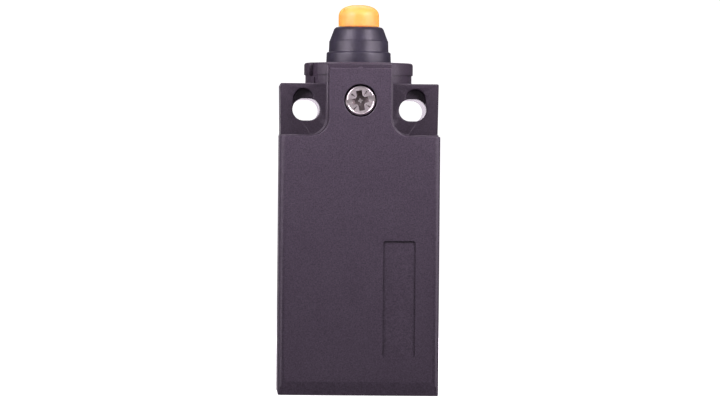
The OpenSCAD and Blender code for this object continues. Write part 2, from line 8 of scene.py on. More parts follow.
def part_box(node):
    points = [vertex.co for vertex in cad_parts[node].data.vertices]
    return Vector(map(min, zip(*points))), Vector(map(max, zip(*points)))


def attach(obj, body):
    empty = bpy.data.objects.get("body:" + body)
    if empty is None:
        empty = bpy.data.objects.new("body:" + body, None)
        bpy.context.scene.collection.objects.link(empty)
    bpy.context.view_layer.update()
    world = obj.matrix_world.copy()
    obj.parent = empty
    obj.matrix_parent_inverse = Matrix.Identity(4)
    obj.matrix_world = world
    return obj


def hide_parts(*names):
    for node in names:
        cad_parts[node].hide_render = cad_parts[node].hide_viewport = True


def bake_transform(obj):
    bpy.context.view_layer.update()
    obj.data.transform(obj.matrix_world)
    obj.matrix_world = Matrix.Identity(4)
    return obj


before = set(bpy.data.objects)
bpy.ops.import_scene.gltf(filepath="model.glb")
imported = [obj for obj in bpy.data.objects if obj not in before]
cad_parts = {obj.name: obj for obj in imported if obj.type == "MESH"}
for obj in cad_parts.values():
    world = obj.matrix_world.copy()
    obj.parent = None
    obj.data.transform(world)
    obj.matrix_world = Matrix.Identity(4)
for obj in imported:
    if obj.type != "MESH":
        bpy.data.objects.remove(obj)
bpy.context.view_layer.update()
MM = 0.001

# ---- Rear housing ----
# One injection moulding in black glass-filled polyamide: the box that holds the contacts, the two
# slotted ears and the round collar on top. It comes out of the mould with a fine spark-eroded grain
# and small radii on its edges.
HOUSING_BLACK = (0.018, 0.0125, 0.020, 1.0)
HOUSING_GREY = (0.043, 0.031, 0.047, 1.0)
HOUSING_EDGE = 0.22 * MM


def new_material(name):
    material = bpy.data.materials.new(name)
    material.use_nodes = True
    tree = material.node_tree
    return material, tree, tree.nodes["Principled BSDF"]


def grain_noise(tree, size, detail=3.0, roughness=0.55):
    """Noise whose lumps are about as large as size, fixed to the piece."""
    place = tree.nodes.get("place")
    if place is None:
        place = tree.nodes.new("ShaderNodeTexCoord")
        place.name = "place"
    noise = tree.nodes.new("ShaderNodeTexNoise")
    noise.inputs["Scale"].default_value = 1.0 / size
    noise.inputs["Detail"].default_value = detail
    noise.inputs["Roughness"].default_value = roughness
    tree.links.new(place.outputs["Object"], noise.inputs["Vector"])
    return noise.outputs["Fac"]


NOISE_LOW = 0.3
NOISE_HIGH = 0.7


def blend_colours(tree, factor, dark, light):
    """Goes from dark to light over the range that most of a noise lies in."""
    ramp = tree.nodes.new("ShaderNodeValToRGB")
    ramp.color_ramp.elements[0].position = NOISE_LOW
    ramp.color_ramp.elements[0].color = dark
    ramp.color_ramp.elements[1].position = NOISE_HIGH
    ramp.color_ramp.elements[1].color = light
    tree.links.new(factor, ramp.inputs["Fac"])
    return ramp.outputs["Color"]


def vary(tree, factor, low, high):
    """Turns a noise into a value that goes from low to high."""
    spread = tree.nodes.new("ShaderNodeMapRange")
    spread.inputs["From Min"].default_value = NOISE_LOW
    spread.inputs["From Max"].default_value = NOISE_HIGH
    spread.inputs["To Min"].default_value = low
    spread.inputs["To Max"].default_value = high
    tree.links.new(factor, spread.inputs["Value"])
    return spread.outputs["Result"]


def raise_grain(tree, shader, height, depth):
    """Lets a noise stand out of the surface by depth."""
    bump = tree.nodes.new("ShaderNodeBump")
    bump.inputs["Distance"].default_value = depth
    tree.links.new(height, bump.inputs["Height"])
    tree.links.new(bump.outputs["Normal"], shader.inputs["Normal"])


MOULD_GRAIN = 0.16 * MM
SPECKLE = 0.26 * MM
CLOUD = 3.5 * MM
SHINIER = 0.05
DULLER = 0.06


def moulded_plastic(name, dark, light, rough, depth=0.012 * MM):
    """Plastic with the mould's fine grain, small colour specks and broad clouds of duller surface."""
    material, tree, shader = new_material(name)
    fine = grain_noise(tree, MOULD_GRAIN)
    broad = grain_noise(tree, CLOUD, detail=5.0)
    speckle = grain_noise(tree, SPECKLE, detail=2.0, roughness=0.6)
    tree.links.new(blend_colours(tree, speckle, dark, light), shader.inputs["Base Color"])
    tree.links.new(vary(tree, broad, rough - SHINIER, rough + DULLER), shader.inputs["Roughness"])
    raise_grain(tree, shader, fine, depth)
    return material


STRAIGHT_ON = math.radians(140)


def runs_on(vert, edge, other):
    """True where two edges follow each other almost straight through a vertex."""
    first = edge.other_vert(vert).co - vert.co
    second = other.other_vert(vert).co - vert.co
    return first.angle(second, 0.0) > STRAIGHT_ON


def gap_to_edge(point, edge):
    """The distance from a point to the nearest place on an edge."""
    start, stop = (vert.co for vert in edge.verts)
    along = stop - start
    share = min(1.0, max(0.0, (point - start).dot(along) / max(along.length_squared, 1e-18)))
    return (start + along * share - point).length


# All three are counted in radii: the room that an edge needs to be rounded, the room that it has with
# nothing beside it, and how far along a face's rim another edge still belongs to the same corner.
ROOM_FOR_EDGE = 2.15
OPEN_ROOM = 10
SAME_CORNER = 4


def pick_edges(shape, radius, sharp):
    """Picks the sharp edges that have room for the radius. The edges of smaller features stay sharp."""
    picked = shape.edges.layers.float.new("bevel_weight_edge")
    limit = math.radians(sharp)
    folds = [edge for edge in shape.edges if len(edge.link_faces) == 2]
    keen = {edge for edge in folds if edge.calc_face_angle(0.0) > limit}
    room = {vert: OPEN_ROOM * radius for edge in keen for vert in edge.verts}
    for edge in keen:
        for vert in edge.verts:
            for other in vert.link_edges:
                if other is not edge and not (other in keen and runs_on(vert, edge, other)):
                    room[vert] = min(room[vert], other.calc_length())
    for face in shape.faces:
        walk = [0.0]
        for loop in face.loops:
            walk.append(walk[-1] + loop.edge.calc_length())
        rim = [(k, loop) for k, loop in enumerate(face.loops)]
        far = [(k, loop.edge) for k, loop in rim if loop.edge in keen]
        for k, loop in rim:
            if loop.vert not in room:
                continue
            for m, edge in far:
                path = min((walk[m] - walk[k]) % walk[-1], (walk[k] - walk[m + 1]) % walk[-1])
                if path > SAME_CORNER * radius:
                    room[loop.vert] = min(room[loop.vert], gap_to_edge(loop.vert.co, edge))
    for edge in keen:
        roomy = min(room[vert] for vert in edge.verts) > ROOM_FOR_EDGE * radius
        edge[picked] = 1.0 if roomy else 0.0
        edge.smooth = roomy


CREASE = math.radians(6)


def hold_shading(shape):
    """Where a rounding stops at an edge left sharp, keeps the shading of each face to itself."""
    ends = {vert for edge in shape.edges if not edge.smooth for vert in edge.verts}
    for vert in ends:
        for edge in vert.link_edges:
            if edge.calc_face_angle(0.0) > CREASE:
                edge.smooth = False


WELD = 0.002 * MM
FLAT = math.radians(0.4)
LARGE_FACES_LEAD = 80


def crisp(node, name, radius, body, steps=2, sharp=30.0):
    """A piece with the CAD node's form, cleaned to whole faces, and with its sharp edges rounded off."""
    shape = bmesh.new()
    shape.from_mesh(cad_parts[node].data)
    bmesh.ops.remove_doubles(shape, verts=shape.verts, dist=WELD)
    bmesh.ops.dissolve_limit(shape, angle_limit=FLAT, verts=shape.verts, edges=shape.edges)
    bmesh.ops.connect_verts_concave(shape, faces=shape.faces)
    for face in shape.faces:
        face.smooth = True
    pick_edges(shape, radius, sharp)
    mesh = bpy.data.meshes.new(name)
    shape.to_mesh(mesh)
    piece = bpy.data.objects.new(name, mesh)
    bpy.context.scene.collection.objects.link(piece)
    edges = piece.modifiers.new("edges", "BEVEL")
    edges.width = radius
    edges.segments = steps
    edges.limit_method = "WEIGHT"
    edges.use_clamp_overlap = False
    edges.loop_slide = False
    edges.face_strength_mode = "FSTR_ALL"
    rounded_piece = piece.evaluated_get(bpy.context.evaluated_depsgraph_get())
    shape.clear()
    shape.from_mesh(rounded_piece.data)
    hold_shading(shape)
    piece.modifiers.remove(edges)
    shape.to_mesh(mesh)
    shape.free()
    shading = piece.modifiers.new("shading", "WEIGHTED_NORMAL")
    shading.keep_sharp = True
    shading.weight = LARGE_FACES_LEAD
    shading.use_face_influence = True
    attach(piece, body)
    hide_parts(node)
    return piece


housing_plastic = moulded_plastic("housing_plastic", HOUSING_BLACK, HOUSING_GREY, rough=0.46)
housing = crisp("base_housing", "rear_housing", HOUSING_EDGE, "housing")
slot_wall_plastic = moulded_plastic("slot_wall_plastic", HOUSING_BLACK, HOUSING_GREY, rough=0.22,
                                    depth=0.002 * MM)
housing.data.materials.append(housing_plastic)
housing.data.materials.append(slot_wall_plastic)
SLOT_INNER_X = 7.0 * MM
SLOT_OUTER_X = 14.0 * MM
SLOT_REACH_Z = 2.2 * MM
UPRIGHT = 0.1
for face in housing.data.polygons:
    at_slot = SLOT_INNER_X < abs(face.center.x) < SLOT_OUTER_X and abs(face.center.z) < SLOT_REACH_Z
    if at_slot and abs(face.normal.y) < UPRIGHT:
        face.material_index = 1

# ---- Front cover ----
# A T-shaped lid moulded in the same black plastic, a little more matt. Its tongue reaches up over the
# head and takes the one screw; a plain sunk field stands where a marking would go.
COVER_BLACK = (0.021, 0.0145, 0.024, 1.0)
COVER_GREY = (0.057, 0.042, 0.063, 1.0)
COVER_EDGE = 0.16 * MM
cover_plastic = moulded_plastic("cover_plastic", COVER_BLACK, COVER_GREY, rough=0.52)
cover = crisp("front_cover", "front_cover_shell", COVER_EDGE, "cover")
cover.data.materials.append(cover_plastic)

# ---- Plunger ----
# Cap and stem moulded in one piece of yellow acetal, polished by use. The domed cap is what the
# machine presses; the stem runs down through the bush to the contact carrier.
plunger_low, plunger_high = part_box("plunger")
AXIS_X = 0.0
AXIS_Y = (plunger_low.y + plunger_high.y) / 2
ARC_STEPS = 5
SHARE_OF_SIDE = 0.48


def rounded(corners):
    """An outline from (r, z) or (r, z, radius) corners. A corner with a radius becomes a smooth curve."""
    out = []
    count = len(corners)
    for i, corner in enumerate(corners):
        here = Vector(corner[:2])
        radius = corner[2] if len(corner) > 2 else 0.0
        if radius <= 0.0:
            out.append(here)
            continue
        before = Vector(corners[(i - 1) % count][:2]) - here
        after = Vector(corners[(i + 1) % count][:2]) - here
        reach = min(radius, SHARE_OF_SIDE * before.length, SHARE_OF_SIDE * after.length)
        first = here + before.normalized() * reach
        last = here + after.normalized() * reach
        for k in range(ARC_STEPS + 1):
            t = k / ARC_STEPS
            out.append(first * (1 - t) ** 2 + here * 2 * t * (1 - t) + last * t ** 2)
    return out


def plain_ring(shape, r, z, steps):
    """Points on a circle about the vertical axis."""
    turn = [2 * math.pi * k / steps for k in range(steps)]
    return [shape.verts.new((r * math.cos(a), r * math.sin(a), z)) for a in turn]


def link_mesh(name, shape, sharp=40.0):
    """Puts a finished mesh in the scene, smooth but for the edges sharper than sharp degrees."""
    bmesh.ops.recalc_face_normals(shape, faces=shape.faces)
    mesh = bpy.data.meshes.new(name)
    shape.to_mesh(mesh)
    shape.free()
    mesh.polygons.foreach_set("use_smooth", [True] * len(mesh.polygons))
    mesh.set_sharp_from_angle(angle=math.radians(sharp))
    piece = bpy.data.objects.new(name, mesh)
    bpy.context.scene.collection.objects.link(piece)
    return piece


LATHE_STEPS = 96


def lathe(name, outline, closed=True):
    """Turns an (r, z) outline about the vertical axis. An open outline starts and ends on the axis."""
    shape = bmesh.new()
    rings = []
    for point in outline:
        if point.x < 1e-7:
            rings.append([shape.verts.new((0, 0, point.y))])
        else:
            rings.append(plain_ring(shape, point.x, point.y, LATHE_STEPS))
    pairs = list(zip(rings, rings[1:]))
    if closed:
        pairs.append((rings[-1], rings[0]))
    for low, high in pairs:
        for k in range(LATHE_STEPS):
            m = (k + 1) % LATHE_STEPS
            corners = [low[k % len(low)], low[m % len(low)], high[m % len(high)], high[k % len(high)]]
            face = list(dict.fromkeys(corners))
            if len(face) > 2:
                shape.faces.new(face)
    return link_mesh(name, shape, sharp=50.0)


CAP_R = (plunger_high.x - plunger_low.x) / 2
STEM_R = 3.0 * MM
DOME_H = 2.45 * MM
DOME_POWER = 2.4
DOME_STEPS = 24
NECK_R = CAP_R - 0.6 * MM
FOOT_R = CAP_R - 0.1 * MM
STEM_CHAMFER = 0.4 * MM
boot_low, boot_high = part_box("plunger_boot")
neck_z = boot_high.z - 0.83 * MM
cap_foot = boot_high.z - 1.9 * MM
dome = []
for step in range(DOME_STEPS + 1):
    angle = math.radians(90 - 90 * step / DOME_STEPS)
    out = max(0.0, math.cos(angle)) ** (2 / DOME_POWER)
    up = max(0.0, math.sin(angle)) ** (2 / DOME_POWER)
    dome.append((CAP_R * out, plunger_high.z - DOME_H + DOME_H * up))
stem = [
    (CAP_R, boot_high.z + 0.1 * MM, 0.08 * MM), (NECK_R, boot_high.z + 0.03 * MM),
    (NECK_R, neck_z), (FOOT_R, neck_z),
    (FOOT_R, cap_foot + 0.3 * MM, 0.15 * MM), (STEM_R, cap_foot, 0.1 * MM),
    (STEM_R, plunger_low.z + STEM_CHAMFER), (STEM_R - STEM_CHAMFER, plunger_low.z), (0, plunger_low.z)]
plunger = lathe("plunger_cap_and_stem", rounded(dome + stem), closed=False)
plunger.location = (AXIS_X, AXIS_Y, 0)

yellow, tree, shader = new_material("yellow_acetal")
cloudy = grain_noise(tree, 2.2 * MM, detail=3.0)
AMBER = (0.96, 0.37, 0.070, 1.0)
STRAW = (1.0, 0.42, 0.092, 1.0)
tree.links.new(blend_colours(tree, cloudy, AMBER, STRAW), shader.inputs["Base Color"])
tree.links.new(vary(tree, grain_noise(tree, 0.8 * MM), 0.40, 0.48), shader.inputs["Roughness"])
shader.inputs["Subsurface Weight"].default_value = 0.8
shader.inputs["Subsurface Radius"].default_value = (1.0, 0.7, 0.3)
shader.inputs["Subsurface Scale"].default_value = 3.5 * MM
raise_grain(tree, shader, grain_noise(tree, 0.3 * MM), 0.004 * MM)
plunger.data.materials.append(yellow)
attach(plunger, "plunger")
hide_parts("plunger")

# ---- Plunger boot ----
# A stepped cap moulded in black nitrile rubber. Its foot is clamped in the collar and its lip grips
# the plunger, so the cone between them rolls inwards when the plunger is pressed.
FLANGE_R = (boot_high.x - boot_low.x) / 2
SKIRT_R = 5.9 * MM
SKIRT_BORE_R = 5.2 * MM
SLEEVE_R = 5.86 * MM
TOP_R = CAP_R + 0.85 * MM
WALL = 0.6 * MM
collar_z = boot_low.z + 1.57 * MM
flange_z = collar_z + 2.13 * MM
cone_z = boot_high.z - 2.75 * MM
lip_z = boot_high.z - 0.8 * MM
boot_outline = rounded([
    (SKIRT_BORE_R, boot_low.z), (SKIRT_R, boot_low.z), (SKIRT_R, collar_z), (FLANGE_R, collar_z, 0.06 * MM),
    (FLANGE_R - 0.07 * MM, flange_z - 0.18 * MM, 0.2 * MM), (FLANGE_R - 0.28 * MM, flange_z, 0.12 * MM),
    (SLEEVE_R, flange_z + 0.02 * MM, 0.1 * MM), (SLEEVE_R - 0.08 * MM, cone_z, 0.18 * MM),
    (SLEEVE_R - 0.2 * MM, cone_z + 0.16 * MM, 0.1 * MM), (TOP_R, boot_high.z - 0.38 * MM, 0.25 * MM),
    (TOP_R - 0.4 * MM, boot_high.z, 0.25 * MM), (CAP_R + 0.02 * MM, boot_high.z, 0.05 * MM),
    (CAP_R + 0.02 * MM, lip_z), (TOP_R - 0.5 * MM, lip_z - 0.1 * MM, 0.1 * MM),
    (SLEEVE_R - 0.85 * MM, cone_z - 0.1 * MM, 0.3 * MM), (SLEEVE_R - WALL, flange_z, 0.3 * MM),
    (SKIRT_BORE_R, flange_z - WALL)])


def add_rings(outline, start, stop, step):
    """Puts more points on the long stretches between two heights."""
    out = []
    for here, there in zip(outline, outline[1:] + outline[:1]):
        out.append(here)
        inside = start < min(here.y, there.y) + step and max(here.y, there.y) - step < stop
        parts = int((there - here).length / step) if inside else 0
        for k in range(1, parts):
            out.append(here.lerp(there, k / parts))
    return out


RING_STEP = 0.12 * MM
boot = lathe("rubber_boot", add_rings(boot_outline, cone_z, boot_high.z, RING_STEP))
boot.location = (AXIS_X, AXIS_Y, 0)
rubber, tree, shader = new_material("boot_rubber")
bloom = grain_noise(tree, 1.4 * MM, detail=5.0, roughness=0.6)
RUBBER_BLACK = (0.0125, 0.0105, 0.0185, 1.0)
RUBBER_BLOOM = (0.024, 0.0205, 0.035, 1.0)
tree.links.new(blend_colours(tree, bloom, RUBBER_BLACK, RUBBER_BLOOM), shader.inputs["Base Color"])
tree.links.new(vary(tree, grain_noise(tree, 0.5 * MM), 0.38, 0.46), shader.inputs["Roughness"])
raise_grain(tree, shader, grain_noise(tree, 0.22 * MM), 0.006 * MM)
boot.data.materials.append(rubber)
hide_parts("plunger_boot")
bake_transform(boot)

# ---- Cover screw ----
# A nickel-plated steel machine screw with a cheese head, forged with a slot across it and a cross
# with tick marks between its arms. A washer on its shank keeps it in the cover.
screw_low, screw_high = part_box("cover_screw")
SCREW_X = (screw_low.x + screw_high.x) / 2
SCREW_Z = (screw_low.z + screw_high.z) / 2
HEAD_R = (screw_high.x - screw_low.x) / 2
HEAD_H = 2.65 * MM
HEAD_FRONT = -screw_low.y
SHANK_R = 1.75 * MM
SHANK_TIP_R = 0.9 * MM
THREAD_DEPTH = 0.3 * MM
THREAD_PITCH = 0.6 * MM
SCREW_TURN = math.radians(10)
SCREW_STEPS = 72
FLANK = 0.38


def thread_height(turns):
    """0 at the root of a thread and 1 at its crest, for a place given in turns along it."""
    off_crest = abs(turns % 1.0 - 0.5) * 2
    return min(1.0, max(0.0, (1 - off_crest - (0.5 - FLANK)) / (2 * FLANK)))


def thread_rings(shape, low, high, root, crest, pitch, steps, ease, rows_per_turn=10):
    """Rings of a threaded wall from height low to high. The thread fades out over ease at both ends."""
    rows = max(2, round((high - low) / pitch * rows_per_turn))
    rings = []
    for i in range(rows + 1):
        z = low + (high - low) * i / rows
        fade = min(1.0, (z - low) / ease, (high - z) / ease)
        ring = []
        for k in range(steps):
            r = root + (crest - root) * thread_height(z / pitch - k / steps) * max(0.0, fade)
            a = 2 * math.pi * k / steps
            ring.append(shape.verts.new((r * math.cos(a), r * math.sin(a), z)))
        rings.append(ring)
    return rings


def skin(shape, rings, closed=False):
    """Faces between rings that have the same number of points."""
    pairs = list(zip(rings, rings[1:]))
    if closed:
        pairs.append((rings[-1], rings[0]))
    for low, high in pairs:
        for k in range(len(low)):
            m = (k + 1) % len(low)
            shape.faces.new((low[k], low[m], high[m], high[k]))


def make_screw(name, shank_end, neck):
    """The screw along +Z with the front of its head at z = 0."""
    shape = bmesh.new()
    root_r = SHANK_R - THREAD_DEPTH
    rings = [plain_ring(shape, SHANK_TIP_R, -shank_end, SCREW_STEPS)]
    rings += thread_rings(shape, -shank_end + 0.2 * MM, -neck - THREAD_PITCH, root_r, SHANK_R,
                          THREAD_PITCH, SCREW_STEPS, THREAD_PITCH)
    head = rounded([
        (root_r, -neck), (HEAD_R, -neck, 0.15 * MM), (HEAD_R, -0.26 * MM, 0.18 * MM),
        (HEAD_R - 0.28 * MM, 0, 0.12 * MM), (HEAD_R - 0.36 * MM, 0, 0.04 * MM),
        (HEAD_R - 0.44 * MM, -0.09 * MM, 0.05 * MM), (0.4 * MM, -0.07 * MM)])
    rings += [plain_ring(shape, point.x, point.y, SCREW_STEPS) for point in head]
    skin(shape, rings)
    shape.faces.new(rings[0])
    shape.faces.new(rings[-1])
    return link_mesh(name, shape)


def prism_cutter(shape, outline, half_width, turn):
    """A prism whose (r, z) outline is seen from the side, turned about the screw's axis."""
    spin = Matrix.Rotation(turn, 4, "Z")
    sides = []
    for y in (-half_width, half_width):
        sides.append([shape.verts.new(spin @ Vector((r, y, z))) for r, z in outline])
    shape.faces.new(sides[0])
    shape.faces.new(list(reversed(sides[1])))
    for k in range(len(outline)):
        m = (k + 1) % len(outline)
        shape.faces.new((sides[0][m], sides[0][k], sides[1][k], sides[1][m]))


ABOVE_FACE = 0.05 * MM


def groove_cutter(shape, start, stop, half_width, turn):
    """A V-shaped groove that runs outwards and gets wider as it goes."""
    spin = Matrix.Rotation(turn, 4, "Z")
    ends = []
    for r, w in ((start, half_width * 0.4), (stop, half_width)):
        corners = ((r, -w, ABOVE_FACE), (r, w, ABOVE_FACE), (r, 0, -1.3 * w))
        ends.append([shape.verts.new(spin @ Vector(corner)) for corner in corners])
    shape.faces.new(ends[0])
    shape.faces.new(list(reversed(ends[1])))
    for k in range(3):
        m = (k + 1) % 3
        shape.faces.new((ends[0][m], ends[0][k], ends[1][k], ends[1][m]))


CORE_STEPS = 64


def core_cutter(shape, r, lobe, draft, depth):
    """The middle of the recess, with four round lobes and a floor that is smaller than its mouth."""
    rings = []
    levels = ((0, 0.1 * MM), (0, -0.1 * MM), (draft, -depth), (draft + 0.5 * r, -depth - 0.06 * MM))
    for shrink, z in levels:
        ring = []
        for k in range(CORE_STEPS):
            a = 2 * math.pi * k / CORE_STEPS
            reach = r + lobe * math.cos(4 * a) - shrink
            ring.append(shape.verts.new((reach * math.cos(a), reach * math.sin(a), z)))
        rings.append(ring)
    skin(shape, rings)
    shape.faces.new(rings[0])
    shape.faces.new(rings[-1])


def cut(piece, name, verts_of):
    """Cuts away from the piece what verts_of builds in a new mesh."""
    shape = bmesh.new()
    verts_of(shape)
    cutter = link_mesh(name, shape)
    change = piece.modifiers.new(name, "BOOLEAN")
    change.operation = "DIFFERENCE"
    change.solver = "EXACT"
    change.object = cutter
    bpy.context.view_layer.update()
    result = bpy.data.meshes.new_from_object(piece.evaluated_get(bpy.context.evaluated_depsgraph_get()))
    piece.modifiers.clear()
    piece.data = result
    bpy.data.objects.remove(cutter)


SLOT_HALF = 0.54 * MM
SLOT_DEPTH = 0.75 * MM
ARM_HALF = 0.56 * MM
ARM_REACH = 1.98 * MM
CORE_DEPTH = 1.55 * MM
PAST_HEAD = 4 * MM
slot_half = [(PAST_HEAD, 0.1 * MM), (PAST_HEAD, -SLOT_DEPTH)]
slot_side = slot_half + [(-r, z) for r, z in reversed(slot_half)]
ARM_DEPTHS = (CORE_DEPTH - 0.05 * MM, CORE_DEPTH - 0.02 * MM)
screw = make_screw("cover_screw_forged", screw_high.y - screw_low.y, HEAD_H)
cut(screw, "slot", lambda s: prism_cutter(s, slot_side, SLOT_HALF, 0))
for arm, depth in enumerate(ARM_DEPTHS):
    half = [(ARM_REACH, 0.12 * MM), (ARM_REACH - 0.06 * MM, -0.42 * MM), (0.75 * MM, -depth)]
    arm_side = half + [(-r, z) for r, z in reversed(half)]
    cut(screw, "arm", lambda s: prism_cutter(s, arm_side, ARM_HALF, arm * math.pi / 2))
cut(screw, "core", lambda s: core_cutter(s, r=1.12 * MM, lobe=0.1 * MM, draft=0.17 * MM, depth=CORE_DEPTH))
TICK_START = 1.25 * MM
TICK_STOP = 2.15 * MM
TICK_HALF = 0.26 * MM
for tick in range(4):
    turn = (tick + 0.5) * math.pi / 2
    cut(screw, "tick", lambda s: groove_cutter(s, TICK_START, TICK_STOP, TICK_HALF, turn))
to_front = Matrix.Translation((SCREW_X, -HEAD_FRONT, SCREW_Z)) @ Matrix.Rotation(math.pi / 2, 4, "X")
screw.data.transform(to_front @ Matrix.Rotation(SCREW_TURN, 4, "Z"))
screw.data.polygons.foreach_set("use_smooth", [True] * len(screw.data.polygons))
screw.data.set_sharp_from_angle(angle=math.radians(35))
SCREW_EDGE = 0.05 * MM
edges = screw.modifiers.new("edges", "BEVEL")
edges.width = SCREW_EDGE
edges.segments = 2
edges.limit_method = "ANGLE"
edges.angle_limit = math.radians(40)
METAL_GRAIN = 0.12 * MM
METAL_GRAIN_DEPTH = 0.003 * MM
CLEANER = 0.06
STAINED = 0.08


def metal(name, dark, light, rough, size=0.6 * MM):
    """Metal whose stains, about as large as size, are both lighter and duller."""
    material, tree, shader = new_material(name)
    stain = grain_noise(tree, size, detail=5.0, roughness=0.65)
    fine = grain_noise(tree, METAL_GRAIN)
    tree.links.new(blend_colours(tree, stain, dark, light), shader.inputs["Base Color"])
    tree.links.new(vary(tree, stain, rough - CLEANER, rough + STAINED), shader.inputs["Roughness"])
    shader.inputs["Metallic"].default_value = 1.0
    raise_grain(tree, shader, fine, METAL_GRAIN_DEPTH)
    return material


NICKEL_GREY = (0.80, 0.73, 0.72, 1)
NICKEL_WHITE = (0.97, 0.90, 0.90, 1)
# The slot, the arms and the lobes of the recess get a much darker, rougher nickel than the head's face:
# painted shade for the shade inside the recess.
RECESS_PAINTED_SHADE_DARK = (0.17, 0.145, 0.14, 1)
RECESS_PAINTED_SHADE_LIGHT = (0.27, 0.235, 0.23, 1)
nickel = metal("nickel_plate", NICKEL_GREY, NICKEL_WHITE, rough=0.33)
painted_shade_nickel = metal("painted_shade_nickel", RECESS_PAINTED_SHADE_DARK, RECESS_PAINTED_SHADE_LIGHT, rough=0.5)
screw.data.materials.append(nickel)
screw.data.materials.append(painted_shade_nickel)
RECESS_TOP = 0.12 * MM
RECESS_FLOOR = CORE_DEPTH + 0.1 * MM
RECESS_R = 2.0 * MM
CORE_FLOOR_R = 0.5 * MM
# Faces inside the recess, from just under the head's face to below the core's floor, take the dark nickel
# of painted shade.
for face in screw.data.polygons:
    depth = face.center.y + HEAD_FRONT
    off_axis = math.hypot(face.center.x - SCREW_X, face.center.z - SCREW_Z)
    if RECESS_TOP < depth < RECESS_FLOOR and CORE_FLOOR_R < off_axis < RECESS_R:
        face.material_index = 1
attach(screw, "cover_screw")
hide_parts("cover_screw")

# ---- Cable entry thread ----
# The M20 x 1.5 thread that a cable gland screws into, cut in the floor of the rear housing. It is
# black plastic as the housing is, and as matt as the cover.
ENTRY_R = 10.0 * MM
ENTRY_PITCH = 1.5 * MM
ENTRY_THREAD = 0.81 * MM
ENTRY_Y = -14.0 * MM
ENTRY_CHAMFER = 0.7 * MM
ENTRY_TOP = 8.0 * MM
ENTRY_STEPS = 120
ROOT_LIFT = 0.02 * MM
IN_THE_WALL = 0.05 * MM
housing_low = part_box("base_housing")[0]
entry_low = housing_low.z + ENTRY_CHAMFER
entry_high = housing_low.z + ENTRY_TOP
shape = bmesh.new()
rings = [plain_ring(shape, ENTRY_R + IN_THE_WALL, z, ENTRY_STEPS) for z in (entry_high, entry_low)]
rings += thread_rings(shape, entry_low, entry_high, ENTRY_R - ROOT_LIFT, ENTRY_R - ENTRY_THREAD,
                      ENTRY_PITCH, ENTRY_STEPS, ENTRY_CHAMFER, rows_per_turn=12)
skin(shape, rings, closed=True)
entry = link_mesh("cable_entry_thread", shape)
entry.location = (0, ENTRY_Y, 0)
entry.data.materials.append(cover_plastic)
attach(entry, "housing")

# ---- Springs ----
# Stainless spring wire, coiled with closed end turns. The return spring stands on the floor of the
# contact block and lifts the carrier; the two small ones press the bridges home.
WIRE_DARK = (0.38, 0.38, 0.39, 1)
WIRE_LIGHT = (0.56, 0.56, 0.57, 1)
CLOSED_TURNS = 0.8
COIL_STEPS = 36
CAP_WELD = 0.001 * MM
spring_wire = metal("spring_wire", WIRE_DARK, WIRE_LIGHT, rough=0.24, size=0.3 * MM)


def coil(name, node, wire, turns):
    """A coil in the place of a CAD spring."""
    low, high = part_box(node)
    centre = Vector(((low.x + high.x) / 2, (low.y + high.y) / 2, 0))
    r = (high.x - low.x) / 2 - wire / 2
    lift = (high.z - low.z) - wire * (1 + 2 * CLOSED_TURNS)
    line = bpy.data.curves.new(name, "CURVE")
    line.dimensions = "3D"
    line.bevel_depth = wire / 2
    line.bevel_resolution = 4
    line.use_fill_caps = True
    path = line.splines.new("POLY")
    path.points.add(turns * COIL_STEPS)
    for i in range(turns * COIL_STEPS + 1):
        t = i / COIL_STEPS
        a = 2 * math.pi * t
        z = wire / 2 + wire * min(t, CLOSED_TURNS) + wire * max(0, t - (turns - CLOSED_TURNS))
        z += lift * min(1, max(0, (t - CLOSED_TURNS) / (turns - 2 * CLOSED_TURNS)))
        place = centre + Vector((r * math.cos(a), r * math.sin(a), low.z + z))
        path.points[i].co = (*place, 1)
    holder = bpy.data.objects.new(name + "_line", line)
    bpy.context.scene.collection.objects.link(holder)
    bpy.context.view_layer.update()
    tube = bpy.data.meshes.new_from_object(holder.evaluated_get(bpy.context.evaluated_depsgraph_get()))
    bpy.data.objects.remove(holder)
    shape = bmesh.new()
    shape.from_mesh(tube)
    bmesh.ops.remove_doubles(shape, verts=shape.verts, dist=CAP_WELD)
    piece = link_mesh(name, shape, sharp=60.0)
    piece.data.materials.append(spring_wire)
    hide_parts(node)
    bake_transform(piece)


coil("return_spring_coil", "return_spring", 0.6 * MM, 7)
coil("nc_spring_coil", "nc_contact_spring", 0.4 * MM, 4)
coil("no_spring_coil", "no_contact_spring", 0.4 * MM, 4)

# ---- Contact block ----
# The insulating block in cream glass-filled thermoset that carries the terminals and guides the
# carrier, and the clear polycarbonate plate that is pressed over the moving contacts.
BLOCK_CREAM = (0.56, 0.51, 0.40, 1)
BLOCK_PALE = (0.66, 0.61, 0.50, 1)
BLOCK_EDGE = 0.14 * MM
WINDOW_EDGE = 0.12 * MM
WINDOW_TINT = (0.86, 0.90, 0.92, 1)
block_plastic = moulded_plastic("block_plastic", BLOCK_CREAM, BLOCK_PALE, rough=0.5, depth=0.008 * MM)
block = crisp("contact_block", "contact_block_moulding", BLOCK_EDGE, "housing")
block.data.materials.append(block_plastic)

clear, tree, shader = new_material("clear_polycarbonate")
shader.inputs["Base Color"].default_value = WINDOW_TINT
shader.inputs["Transmission Weight"].default_value = 0.85
shader.inputs["IOR"].default_value = 1.58
tree.links.new(vary(tree, grain_noise(tree, 1.2 * MM), 0.06, 0.16), shader.inputs["Roughness"])
raise_grain(tree, shader, grain_noise(tree, 2.5 * MM), 0.01 * MM)
window = crisp("block_window", "contact_window", WINDOW_EDGE, "housing")
window.data.materials.append(clear)

